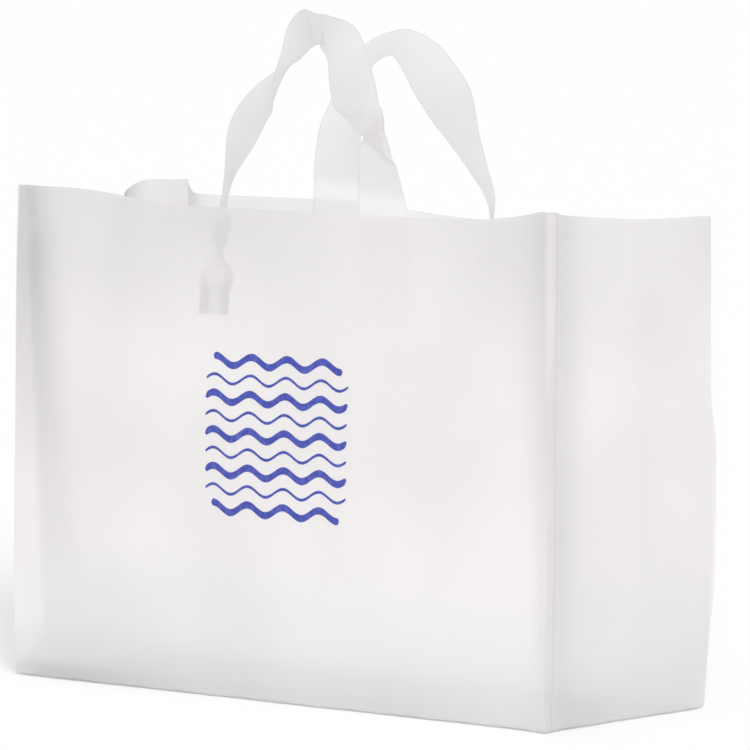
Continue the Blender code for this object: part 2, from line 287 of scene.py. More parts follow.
@dataclass(frozen=True)
class PaleFloor:
    """Matt white painted floor, which gives a bright even ground."""

    name: str = "matt_white_paint"
    colour_hex: str = "F4F4F4"

    def material(self) -> bpy.types.Material:
        """Builds the floor's material.

        Returns:
            A new matt, nearly white material.
        """
        material = bpy.data.materials.new(self.name)
        material.use_nodes = True
        tree = material.node_tree
        tree.nodes.clear()
        body = add_node(
            tree,
            "ShaderNodeBsdfPrincipled",
            inputs={"Base Color": linear(self.colour_hex), "Roughness": 0.9, "Specular IOR Level": 0.1},
        ).outputs["BSDF"]
        add_node(tree, "ShaderNodeOutputMaterial", inputs={"Surface": body})
        return material


def make_object(
    name: str,
    points: Sequence[Vector],
    faces: Sequence[tuple],
    material: bpy.types.Material,
    shades: Sequence[float] = (),
) -> bpy.types.Object:
    """Makes a mesh object at the origin and dresses it.

    Args:
        name: The object's name.
        points: Its vertices, in metres in the bag's frame.
        faces: Its faces, anticlockwise seen from outside.
        material: Its finish.
        shades: The painted shade at each vertex, from 0 to 1, or nothing where none is painted.

    Returns:
        The new object, smooth shaded apart from its real folds.
    """
    mesh = bpy.data.meshes.new(name)
    mesh.from_pydata([tuple(point) for point in points], [], faces)
    mesh.materials.append(material)
    if shades:
        # The painted shade goes in a mesh attribute that the material reads.
        layer = mesh.attributes.new(SHADE, "FLOAT", "POINT")
        layer.data.foreach_set("value", shades)
    mesh.update()
    piece = bpy.data.objects.new(name, mesh)
    bpy.context.collection.objects.link(piece)
    bpy.ops.object.select_all(action="DESELECT")
    piece.select_set(True)
    bpy.context.view_layer.objects.active = piece
    bpy.ops.object.shade_smooth_by_angle(angle=math.radians(38.0))
    return piece


class WallSide(Enum):
    """The four walls, anticlockwise seen from above: first crease, last crease and outward side."""

    FRONT = ((-1, -1), (1, -1), (0, -1))
    RIGHT = ((1, -1), (1, 1), (1, 0))
    BACK = ((1, 1), (-1, 1), (0, 1))
    LEFT = ((-1, 1), (-1, -1), (-1, 0))


class GreyBand(NamedTuple):
    """A soft band of painted shade beside a crease, or of painted highlight that clears it.

    Its strength is in levels of 255, its middle and half width are distances from the crease, and it
    comes in and goes out over the given ranges of height.
    """

    levels: float
    middle: float
    half: float
    comes: tuple[float, float] = ALWAYS
    goes: tuple[float, float] = NEVER

    def at(self, distance: float, height: float) -> float:
        """The band's levels at a distance from the crease and a height."""
        share = ease(*self.comes, height) * (1.0 - ease(*self.goes, height))
        return self.levels * bump(distance, self.middle, self.half) * share


@dataclass(frozen=True)
class PaintedFilmShade:
    """Painted shade on the walls, where the slack top, creases, rolled edges and foot lie in shade.

    Amounts are in levels of 255 and lengths in metres. The back wall's rolled crease alone takes its
    height as a share of the wall's.
    """

    wall_height: float
    groove_start: float = 0.0135
    groove_top: float = 0.281
    groove_slope: float = 0.135
    groove_halves: tuple[float, float] = (0.0180, 0.0170)
    groove_low: tuple[float, float] = (2.0, 12.0)
    groove_rise: float = 12.0
    mouth_easing: float = 0.4
    left_bands: tuple[GreyBand, ...] = (
        GreyBand(7.0, 0.009, 0.008, (0.09, 0.18), (0.245, 0.270)),
        GreyBand(4.0, 0.0, 0.035, (0.06, 0.11), (0.20, 0.26)),
        GreyBand(9.0, 0.0, 0.008, (0.13, 0.22)),
    )
    ridge_halves: tuple[float, float] = (0.006, 0.022)
    ridge_levels: tuple[float, float] = (6.0, 13.0)
    glints: tuple[GreyBand, ...] = (
        GreyBand(0.9, 0.0, 0.0022, (0.18, 0.26)),
        GreyBand(0.3, 0.0, 0.0022, ALWAYS, (0.14, 0.18)),
    )
    slack_top: float = 6.0
    slack_right: float = 3.0
    slack_left: float = 11.0
    foot_levels: float = 12.0
    foot_edge: float = 2.0
    foot_range: tuple[float, float] = (0.004, 0.042)
    edge_range: tuple[float, float] = (0.005, 0.0135)
    corner: GreyBand = GreyBand(17.0, 0.0, 0.100)
    corner_clearing: GreyBand = GreyBand(0.5, 0.0, 0.018)
    right_clearing: GreyBand = GreyBand(0.7, 0.0, 0.050)
    low_levels: float = 3.0
    gusset_levels: tuple[float, float] = (11.0, 20.0)
    gusset_easing: float = 0.4
    gusset_base: float = 2.0
    gusset_low: float = 12.0
    gusset_top: float = 8.0
    gusset_foot: float = 14.0
    gusset_clearing: GreyBand = GreyBand(0.5, 0.0, 0.014)
    back_roll: GreyBand = GreyBand(32.0, 0.0, 0.0105, (0.5, 1.0))
    tuck_base: float = 5.0
    tuck_levels: tuple[float, float] = (7.0, 45.0)
    tuck_place: tuple[float, float] = (0.47, 0.11)

    def painted_glint(self, from_crease: float, z: float) -> float:
        """The painted highlight on the pinched right crease: how much of its painted shade it clears."""
        return sum(band.at(from_crease, z) for band in self.glints)

    def groove(self, from_left: float, z: float) -> float:
        """The painted shade in the left groove, which leans away from the crease as it goes down.

        Args:
            from_left: The distance from the left crease.
            z: The height.

        Returns:
            The painted shade in levels of 255.
        """
        middle = self.groove_start + (self.groove_top - z) * self.groove_slope
        half = mix(*self.groove_halves, z / self.wall_height)
        levels = mix(*self.groove_low, ease(0.05, 0.10, z)) + self.groove_rise * ease(0.10, 0.30, z)
        levels *= bump(from_left, middle, half) * ease(0.0, 0.05, z)
        return levels * (1.0 - self.mouth_easing * ease(0.262, 0.285, z))

    def front(self, share: float, from_left: float, from_right: float, z: float) -> float:
        """The front wall's painted shade: slack top, left groove, pinched right crease and folded foot.

        Args:
            share: The place along the wall, from 0 at its left crease to 1.
            from_left: The distance from the left crease.
            from_right: The distance from the right crease.
            z: The height.

        Returns:
            The painted shade in levels of 255.
        """
        levels = self.groove(from_left, z) + sum(band.at(from_left, z) for band in self.left_bands)
        half = mix(*self.ridge_halves, ease(0.02, 0.28, z))
        ridge = mix(*self.ridge_levels, ease(0.12, 0.22, z)) * bump(from_right, 0.0, half)
        # The painted highlight on the crease clears part of the ridge's painted shade.
        levels += ridge * ease(0.0, 0.06, z) * (1.0 - self.painted_glint(from_right, z))
        levels += self.slack_top * ease(0.16, 0.30, z)
        levels += self.slack_right * ease(0.3, 1.0, share) * ease(0.05, 0.12, z)
        levels += self.slack_left * ease(0.20, 0.30, z) * ease(0.3, 0.9, 1.0 - share)
        corner = self.corner.at(from_left, z) * (1.0 - self.corner_clearing.at(from_left, z))
        foot = (self.foot_edge + corner) * (1.0 - ease(*self.edge_range, z))
        foot += self.foot_levels * (1.0 - ease(*self.foot_range, z))
        levels += foot * (1.0 - self.right_clearing.at(from_right, z))
        return levels + self.low_levels * (1.0 - ease(0.03, 0.10, z)) * (1.0 + share)

    def right(self, share: float, near: float, z: float) -> float:
        """The right gusset's painted shade: the band beside the ridge, the slack top and the foot.

        Args:
            share: The place along the gusset, from 0 at the front crease to 1.
            near: The distance from the front crease.
            z: The height.

        Returns:
            The painted shade in levels of 255.
        """
        levels = mix(*self.gusset_levels, ease(0.04, 0.12, z)) * bump(near, 0.006, 0.020)
        levels *= ease(0.0, 0.045, z) * (1.0 - self.gusset_easing * ease(0.20, 0.28, z))
        levels *= 1.0 - self.painted_glint(near, z)
        levels += self.gusset_base + self.gusset_low * (1.0 - ease(0.03, 0.20, z))
        levels += self.gusset_top * ease(0.18, 0.28, z)
        foot = self.gusset_foot * (1.0 - share) * (1.0 - self.gusset_clearing.at(near, z))
        return levels + foot * (1.0 - ease(*self.foot_range, z))

    def left(self, share: float, level: float) -> float:
        """The left gusset's painted shade, in the pleat tucked in at the mouth."""
        return self.tuck_base + mix(*self.tuck_levels, ease(0.80, 1.0, level)) * bump(share, *self.tuck_place)


@dataclass
class BagBody:
    """The film bag itself: four walls between bowed creases, and the welded base."""

    width: float = 0.4064
    depth: float = 0.1524
    height: float = 0.3048
    mouth_shear: float = 0.0034
    mouth_spread: float = 0.0026
    base_shear: float = 0.0024
    base_spread: float = 0.0018
    crease_bow: float = 0.0028
    pull_in: float = 0.0008
    pull_forward: float = 0.0019
    left_flare: float = 0.0021
    foot_round: float = 0.0015
    belly: float = 0.0065
    mouth_belly: float = 0.0015
    side_belly: float = 0.0025
    ridge: float = 0.0042
    ridge_reach: float = 0.0110
    ridge_wave: float = 0.0030
    ridge_wave_foot: float = 0.02
    ridge_wave_half: float = 0.125
    ridge_side: float = 0.0022
    ridge_side_reach: float = 0.0060
    ridge_groove: float = 0.0007
    side_fold: float = 0.0007
    side_fold_reach: float = 0.009
    side_swell: float = 0.0005
    tent_fold: float = 0.0010
    tent_reach: float = 0.012
    hollow: float = 0.0040
    hollow_places: tuple[float, float] = (0.023, 0.004)
    hollow_reaches: tuple[float, float] = (0.0130, 0.0075)
    hollow_half: float = 0.0105
    hollow_fade: float = 0.016
    knee: float = 0.029
    knee_place: float = 0.021
    knee_depth: float = 0.0022
    swell: float = 0.0007
    small_swell: float = 0.0004
    foot_fold: float = 0.0011
    handle_pull: float = 0.0009
    roll: float = 0.0055
    roll_reach: float = 0.0080
    left_fold: float = 0.0200
    fold_round: float = 0.012
    front_left_rise: float = 0.0012
    front_right_drop: float = 0.0015
    back_drop: float = 0.0078
    back_left_rise: float = 0.0016
    front_dip: float = 0.0072
    side_sag: float = 0.0012
    back_sag: float = 0.0085
    foot_ripple: float = 0.0007
    peak_reach: float = 0.0022
    left_dip: float = 0.0092
    left_bulge: float = 0.0098
    bulge_place: float = 0.44
    bulge_halves: tuple[float, float] = (0.09, 0.035)
    left_arch: float = 0.0012
    seam_rise: float = 0.0006
    seam_half: float = 0.0025
    floor_gap: float = 0.0004
    # Painted shade on the base, under the bag.
    painted_base_shade: float = 0.25
    front_steps: int = 150
    side_steps: int = 56
    level_steps: int = 110
    painted_shade: PaintedFilmShade = field(init=False)

    def __post_init__(self) -> None:
        """Sets the painted shade to the walls' height."""
        self.painted_shade = PaintedFilmShade(self.height)

    def crease_place(self, side_x: int, side_y: int, level: float) -> tuple[float, float]:
        """Where a vertical crease stands in plan.

        Args:
            side_x: The crease's side of the bag, -1 left and 1 right.
            side_y: The same, -1 front and 1 back.
            level: The level, from 0 at the base to 1 at the mouth.

        Returns:
            Its x and y.
        """
        bow = self.crease_bow * math.sin(math.pi * level**0.6) * math.sqrt(0.5)
        shear = mix(self.base_shear, self.mouth_shear, level)
        spread = mix(self.base_spread, self.mouth_spread, level)
        x = side_x * (self.width / 2 + bow) + side_y * shear
        y = side_y * (self.depth / 2 + spread + bow)
        if side_x > 0 and side_y > 0:
            x -= self.pull_in * level
            y -= self.pull_forward * level
        if side_x < 0 and side_y < 0:
            x -= self.left_flare * ease(0.45, 0.90, level)
        return x, y

    @staticmethod
    def belly_share(level: float) -> float:
        """How much of a wall's belly shows at a level."""
        return ease(0.0, 0.30, level) * (1.0 - ease(0.55, 1.0, level))

    def front_relief(self, share: float, level: float) -> float:
        """How far the front wall stands out in front of the line between its creases.

        Args:
            share: The place along the wall, from 0 at its left crease to 1.
            level: The level, from 0 at the base to 1 at the mouth.

        Returns:
            The relief, positive outwards.
        """
        from_left = share * self.width
        from_right = (1.0 - share) * self.width
        z = level * self.height
        out = self.belly * self.belly_share(level) + self.mouth_belly * level
        out *= math.sin(math.pi * share)
        out -= self.corner_hollow(from_left, z, level)
        wave = math.cos((z - self.ridge_wave_foot) / self.ridge_wave_half * math.pi)
        out += self.ridge * math.exp(-from_right / (self.ridge_reach + self.ridge_wave * wave))
        return out + self.front_waves(share, z)

    def corner_hollow(self, from_left: float, z: float, level: float) -> float:
        """The groove beside the front left crease, whose foot runs into the corner as a diagonal fold.

        Args:
            from_left: The distance from the crease.
            z: The height.
            level: The level, from 0 at the base to 1 at the mouth.

        Returns:
            The groove's depth.
        """
        if z < self.knee:
            place = self.knee_place * z / self.knee
            depth = self.knee_depth * z / self.knee
        else:
            place = mix(*self.hollow_places, (z - self.knee) / (self.height - self.knee))
            deep = self.hollow * mix(0.45, 1.0, level)
            depth = mix(self.knee_depth, deep, ease(self.knee, 0.10, z))
        gap = from_left - place
        if gap < 0:
            return depth * math.exp(gap / mix(*self.hollow_reaches, level))
        soft = 1.0 - ease(self.knee, 0.090, z)
        return depth * mix(bump(gap, 0.0, self.hollow_half), math.exp(-gap / self.hollow_fade), soft)

    def front_waves(self, share: float, z: float) -> float:
        """The slack film's long low swells, its fold at the foot, and the dent under the handle's left leg.

        Args:
            share: The place along the wall, from 0 at its left crease to 1.
            z: The height.

        Returns:
            The relief that they add, positive outwards.
        """
        x = (share - 0.5) * self.width
        swell = self.swell * math.sin(x * 34.0 + 0.8) * math.sin(z * 17.0 + 0.4)
        swell += self.small_swell * math.sin(x * 71.0 + z * 23.0)
        swell *= math.sin(math.pi * share)
        fold = self.foot_fold * bump(x + 0.62 * z, -0.005, 0.035)
        fold *= ease(0.0, 0.03, z) * (1.0 - ease(0.06, 0.12, z))
        left_pull = self.handle_pull * bump(x, -0.047, 0.016) * bump(z, 0.262, 0.030)
        return swell + fold - left_pull

    def back_relief(self, share: float, level: float) -> float:
        """How far the back wall stands out, with the rolled film at its right crease.

        Args:
            share: The place along the wall, from 0 at the back right crease to 1.
            level: The level, from 0 at the base to 1 at the mouth.

        Returns:
            The relief, positive outwards.
        """
        from_right = share * self.width
        x = (0.5 - share) * self.width
        z = level * self.height
        out = self.belly * self.belly_share(level) + self.mouth_belly * level
        out *= math.sin(math.pi * share)
        out += self.swell * math.sin(x * 29.0 - 0.5) * math.sin(z * 19.0) * math.sin(math.pi * share)
        rolled = self.roll * ease(0.08, 0.30, level) * (1.0 - ease(0.52, 0.64, level))
        return out + rolled * math.exp(-from_right / self.roll_reach)

    def right_relief(self, share: float, level: float) -> float:
        """How far the right gusset stands out, with the flattened remains of its factory fold.

        Args:
            share: The place along the gusset, from 0 at the front crease to 1.
            level: The level, from 0 at the base to 1 at the mouth.

        Returns:
            The relief, positive outwards.
        """
        z = level * self.height
        out = self.ridge_side * math.exp(-share * self.depth / self.ridge_side_reach)
        out += self.side_belly * math.sin(math.pi * share) * self.belly_share(level)
        out -= self.ridge_groove * bump(share * self.depth, 0.0045, 0.0016)
        middle = math.exp(-abs(share - 0.5) * self.depth / self.side_fold_reach)
        out += self.side_fold * middle * ease(0.05, 0.2, level)
        past = abs(share - 0.5) * self.depth + z - self.depth / 2
        tent = math.exp(-abs(past) / self.tent_reach) * (1.0 - ease(0.055, 0.085, z))
        out -= self.tent_fold * tent * ease(0.0, 0.015, z)
        out += self.side_swell * math.sin(share * 9.0 + z * 31.0) * math.sin(math.pi * share)
        return out

    def left_relief(self, share: float, level: float) -> float:
        """How far the left gusset stands out: it still holds its factory fold, which tucks in at the mouth.

        Args:
            share: The place along the gusset, from 0 at the back crease to 1.
            level: The level, from 0 at the base to 1 at the mouth.

        Returns:
            The relief, positive outwards.
        """
        tent = math.sqrt((2.0 * share - 1.0) ** 2 + self.fold_round)
        low, high = math.sqrt(self.fold_round), math.sqrt(1.0 + self.fold_round)
        tuck = max(0.0, 1.0 - (tent - low) / (high - low))
        half = self.bulge_halves[0] if share < self.bulge_place else self.bulge_halves[1]
        bulge = self.left_bulge * bump(share, self.bulge_place, half)
        return bulge * ease(0.55, 1.0, level) - self.left_fold * tuck * ease(0.10, 1.0, level)

    def relief(self, side: WallSide, share: float, level: float) -> float:
        """The relief of any wall.

        Args:
            side: The wall.
            share: The place along it, from 0 at its first crease to 1.
            level: The level, from 0 at the base to 1 at the mouth.

        Returns:
            The relief, positive outwards.
        """
        reliefs: dict[WallSide, Callable[[float, float], float]] = {
            WallSide.FRONT: self.front_relief,
            WallSide.RIGHT: self.right_relief,
            WallSide.BACK: self.back_relief,
            WallSide.LEFT: self.left_relief,
        }
        return reliefs[side](share, level)

    def shade(self, side: WallSide, share: float, level: float) -> float:
        """The painted shade on a wall, where its creases, grooves, rolled edges and foot lie in shade.

        Args:
            side: The wall.
            share: The place along it, from 0 at its first crease to 1.
            level: The level, from 0 at the base to 1 at the mouth.

        Returns:
            The painted shade, from 0 to about 1.
        """
        z = level * self.height
        if side is WallSide.FRONT:
            levels = self.painted_shade.front(share, share * self.width, (1.0 - share) * self.width, z)
        elif side is WallSide.RIGHT:
            levels = self.painted_shade.right(share, share * self.depth, z)
        elif side is WallSide.BACK:
            levels = self.painted_shade.back_roll.at((1.0 - share) * self.width, level)
        else:
            levels = self.painted_shade.left(share, level)
        return levels / SHADE_LEVELS

    def top(self, side: WallSide, share: float) -> float:
        """The height of a wall's cut edge at the mouth.

        Args:
            side: The wall.
            share: The place along it, from 0 at its first crease to 1.

        Returns:
            The height above the floor.
        """
        if side is WallSide.FRONT:
            plateau = ease(0.10, 0.34, share) * (1.0 - min(1.0, max(0.0, share - 0.82) / 0.165) ** 2)
            slope = mix(self.front_left_rise, -self.front_right_drop, share)
            return self.height + slope - self.front_dip * plateau
        if side is WallSide.RIGHT:
            fall = self.back_drop - self.front_right_drop
            sag = self.side_sag * ease(0.0, 0.07, share) * (1.0 - 0.9 * ease(0.45, 1.0, share))
            return self.height - self.back_drop + fall * (1.0 - share) ** 2 - sag
        if side is WallSide.BACK:
            peak = math.exp(-(1.0 - share) * self.width / self.peak_reach)
            sag = self.back_sag * ease(0.0, 0.22, share) * (1.0 - ease(0.40, 0.72, share))
            return self.height - self.back_drop + (self.back_drop + self.back_left_rise) * peak - sag
        dip = self.left_dip * ease(0.34, 0.50, share) * (1.0 - ease(0.50, 1.0, share))
        arch = self.left_arch * bump(share, 0.28, 0.12)
        return self.height + mix(self.back_left_rise, self.front_left_rise, share) + arch - dip

    def shares(self, side: WallSide) -> list[float]:
        """Places along a wall, closer together towards its creases.

        Args:
            side: The wall.

        Returns:
            Shares from 0 up to, and without, 1.
        """
        steps = self.front_steps if side in (WallSide.FRONT, WallSide.BACK) else self.side_steps
        found = []
        for step in range(steps):
            even = step / steps
            found.append(mix(even, (1.0 - math.cos(math.pi * even)) / 2, 0.75))
        return found

    def wall_point(self, side: WallSide, share: float, level: float) -> Vector:
        """A point of a wall.

        Args:
            side: The wall.
            share: The place along it, from 0 at its first crease to 1.
            level: The level, from 0 at the base to 1 at the mouth.

        Returns:
            The point in the bag's frame.
        """
        start, end, out_way = side.value
        x0, y0 = self.crease_place(*start, level)
        x1, y1 = self.crease_place(*end, level)
        out = self.relief(side, share, level)
        x = mix(x0, x1, share) + out_way[0] * out
        y = mix(y0, y1, share) + out_way[1] * out
        if share == 0.0:
            order = list(WallSide)
            before = order[order.index(side) - 1]
            last = self.relief(before, 1.0, level)
            x += before.value[2][0] * last
            y += before.value[2][1] * last
        return Vector((x, y, self.top(side, share) * level))

    def face_y(self, side_y: int, x: float, z: float) -> float:
        """How far forward or back the front or back wall stands at a place on it.

        Args:
            side_y: The wall, -1 front and 1 back.
            x: The place across the bag.
            z: The height.

        Returns:
            The y of the film there.
        """
        side = WallSide.FRONT if side_y < 0 else WallSide.BACK
        share = (x * -side_y + self.width / 2) / self.width
        level = 1.0
        for _ in range(3):
            share = min(1.0, max(0.0, share))
            level = min(1.0, max(0.0, z / self.top(side, share)))
            x0, y0 = self.crease_place(*side.value[0], level)
            x1, y1 = self.crease_place(*side.value[1], level)
            share = (x - x0) / (x1 - x0)
        share = min(1.0, max(0.0, share))
        return mix(y0, y1, share) + side_y * self.relief(side, share, level)

    def levels(self) -> list[float]:
        """Levels from the base to the mouth, closer together near the base.

        Returns:
            Levels from 0 to 1.
        """
        found = [0.0, 0.0012, 0.0030]
        for step in range(1, self.level_steps + 1):
            even = step / self.level_steps
            found.append(mix(0.0030, 1.0, mix(even, even * even, 0.35)))
        return found

    def foot_inset(self, level: float) -> float:
        """How far the film turns in under the wall where it meets the floor."""
        z = level * self.height
        return self.foot_round * max(0.0, 1.0 - z / self.foot_round) ** 2

    def ripple(self, place: float, level: float) -> float:
        """How far the slack lower edge lifts off the floor."""
        wave = 0.5 + 0.3 * math.sin(place * 151.0 + 0.6) + 0.2 * math.sin(place * 389.0)
        return self.foot_ripple * wave * (1.0 - ease(0.0, 0.030, level))

    def build(self, material: bpy.types.Material) -> bpy.types.Object:
        """Builds the walls and the base as one sheet of film.

        Args:
            material: The walls' finish.

        Returns:
            The bag's object.
        """
        points: list[Vector] = []
        faces: list[tuple] = []
        shades: list[float] = []
        places = [(side, share) for side in WallSide for share in self.shares(side)]
        count = len(places)
        for level in self.levels():
            inset = self.foot_inset(level)
            for side, share in places:
                point = self.wall_point(side, share, level)
                point.x -= math.copysign(min(inset, abs(point.x)), point.x)
                point.y -= math.copysign(min(inset, abs(point.y)), point.y)
                point.z += self.floor_gap + self.ripple(point.x - point.y, level)
                points.append(point)
                shades.append(self.shade(side, share, level))
        for row in range(len(self.levels()) - 1):
            for i in range(count):
                j = (i + 1) % count
                faces.append((row * count + i, row * count + j, (row + 1) * count + j, (row + 1) * count + i))
        self.lay_base(points, faces)
        # The base takes an even painted shade.
        shades += [self.painted_base_shade] * (len(points) - len(shades))
        piece = make_object("bag_film", points, faces, material, shades)
        LOG.info("bag_film: %d faces", len(faces))
        return piece

    def lay_base(self, points: list[Vector], faces: list[tuple]) -> None:
        """Adds the base between the lowest ring's sides, with the welded seam along its middle.

        Args:
            points: The walls' points, lowest ring first, to add the base's to.
            faces: The faces to add the base's to.
        """
        along, across = self.front_steps, self.side_steps
        ring = 2 * along + 2 * across
        lengths = self.shares(WallSide.FRONT) + [1.0]
        depths = self.shares(WallSide.RIGHT) + [1.0]
        grid: dict[tuple[int, int], int] = {}
        for i in range(along + 1):
            grid[i, 0] = i
            grid[i, across] = 2 * along + across - i
        for j in range(1, across):
            grid[along, j] = along + j
            grid[0, j] = ring - j
        for i in range(1, along):
            for j in range(1, across):
                u, v = lengths[i], depths[j]
                side = points[grid[0, j]] * (1 - u) + points[grid[along, j]] * u
                wall = points[grid[i, 0]] * (1 - v) + points[grid[i, across]] * v
                corner = (points[grid[0, 0]] * (1 - u) + points[grid[along, 0]] * u) * (1 - v)
                corner += (points[grid[0, across]] * (1 - u) + points[grid[along, across]] * u) * v
                place = side + wall - corner
                place.z += self.seam_rise * bump((v - 0.5) * self.depth, 0.0, self.seam_half)
                grid[i, j] = len(points)
                points.append(place)
        for i in range(along):
            for j in range(across):
                faces.append((grid[i, j], grid[i, j + 1], grid[i + 1, j + 1], grid[i + 1, j]))


class Station(NamedTuple):
    """One place along a ribbon: its middle, how far in from the wall, and how it turns, tips and folds."""

    across: float
    above: float
    inset: float
    turn: float
    tilt: float
    curl: float
    wide: float = 1.0
    fold: float = 2.0
    hem: float = 0.0


FRONT_LOOP = (
    Station(-0.497, -0.44, 0.050, -10, 0, 10, hem=0.15),
    Station(-0.500, -0.34, 0.080, -36, 0, 20, 0.60, hem=0.22),
    Station(-0.497, -0.24, 0.070, -14, 0, 10, 0.85, hem=0.25),
    Station(-0.510, -0.15, 0.200, -30, 0, 20, 0.95, hem=0.15),
    Station(-0.552, -0.064, 0.395, -45, 2, 15),
    Station(-0.520, 0.123, 0.408, -42, -2, 15),
    Station(-0.462, 0.338, 0.447, -26, -12, 15),
    Station(-0.403, 0.477, 0.474, -24, -13, 15),
    Station(-0.338, 0.563, 0.513, -35, -23, 25),
    Station(-0.287, 0.639, 0.553, -52, -23, 40),
    Station(-0.255, 0.713, 0.579, -62, -7, 40),
    Station(-0.211, 0.812, 0.605, -67, 10, 20),
    Station(-0.164, 0.920, 0.605, -72, 26, 10),
    Station(-0.099, 0.984, 0.605, -69, 34, 6),
    Station(-0.022, 0.967, 0.584, -66, 33, 4),
    Station(-0.008, 0.964, 0.574, -44, 30, 6),
    Station(0.099, 0.888, 0.553, -21, 29, 15),
    Station(0.170, 0.680, 0.500, -8, 8, 15, 1.0, 1.60),
    Station(0.235, 0.538, 0.368, -6, 0, 10, 1.0, 1.05),
    Station(0.292, 0.465, 0.408, -6, 0, 10, 1.0, 0.80),
    Station(0.320, 0.382, 0.463, -5, 0, 10, 1.0, 0.52),
    Station(0.334, 0.310, 0.500, -7, 0, 10, 1.0, 0.28),
    Station(0.359, 0.225, 0.395, -15, 0, 10, 1.0, -0.05),
    Station(0.434, 0.085, 0.158, -8, 1, 15, 1.0, -0.50),
    Station(0.477, -0.057, 0.032, -3, 1, 5, 1.0, -1.00),
)
BACK_LOOP = (
    Station(-0.480, -0.06, 0.037, 0, 0, 5),
    Station(-0.472, 0.10, 0.089, -3, 0, 10),
    Station(-0.432, 0.32, 0.195, -8, -10, 15),
    Station(-0.375, 0.46, 0.263, -17, -19, 15),
    Station(-0.297, 0.66, 0.342, -28, -22, 15),
    Station(-0.208, 0.80, 0.421, -46, -23, 15),
    Station(-0.100, 0.865, 0.474, -59, -25, 15),
    Station(0.016, 0.88, 0.526, -73, -25, 20),
    Station(0.135, 0.80, 0.566, -94, -23, 20),
    Station(0.240, 0.66, 0.579, -105, -23, 15),
    Station(0.323, 0.53, 0.579, -101, -24, 15),
    Station(0.395, 0.35, 0.553, -84, -10, 15),
    Station(0.480, 0.16, 0.526, -70, -6, 20),
    Station(0.548, -0.04, 0.474, -61, 3, 25),
    Station(0.540, -0.30, 0.342, -35, 0, 30),
)
# Painted shade: shares of the way along each ribbon, and how many levels of 255 it is painted darker there.
FRONT_PAINTED_SHADE = (
    (0.00, 24.0),
    (0.07, 24.0),
    (0.10, 9.0),
    (0.235, 9.0),
    (0.27, 4.0),
    (0.29, 5.0),
    (0.33, 9.0),
    (0.43, 8.0),
    (0.50, 10.0),
    (0.56, 11.0),
    (0.60, 8.0),
    (0.68, 10.0),
    (0.80, 5.0),
    (1.00, 4.0),
)
BACK_PAINTED_SHADE = (
    (0.00, 0.0),
    (0.20, 2.0),
    (0.36, 5.0),
    (0.44, 13.0),
    (0.55, 16.0),
    (0.65, 17.0),
    (0.70, 10.0),
    (0.76, 5.0),
    (0.82, 16.0),
    (0.86, 19.0),
    (0.92, 4.0),
)


def curve_value(values: Sequence[float], place: float) -> float:
    """A value on the smooth curve through evenly numbered values.

    Args:
        values: The values that the curve passes through.
        place: The place along it, 0 at the first value, 1 at the second and so on.

    Returns:
        The curve's value there.
    """
    first = min(int(place), len(values) - 2)
    t = place - first
    p0 = values[max(first - 1, 0)]
    p1 = values[first]
    p2 = values[first + 1]
    p3 = values[min(first + 2, len(values) - 1)]
    rise = (p2 - p0) / 2
    fall = (p3 - p1) / 2
    start = p1 * (1 - 3 * t * t + 2 * t**3) + rise * (t - 2 * t * t + t**3)
    return start + fall * (t**3 - t * t) + p2 * (3 * t * t - 2 * t**3)


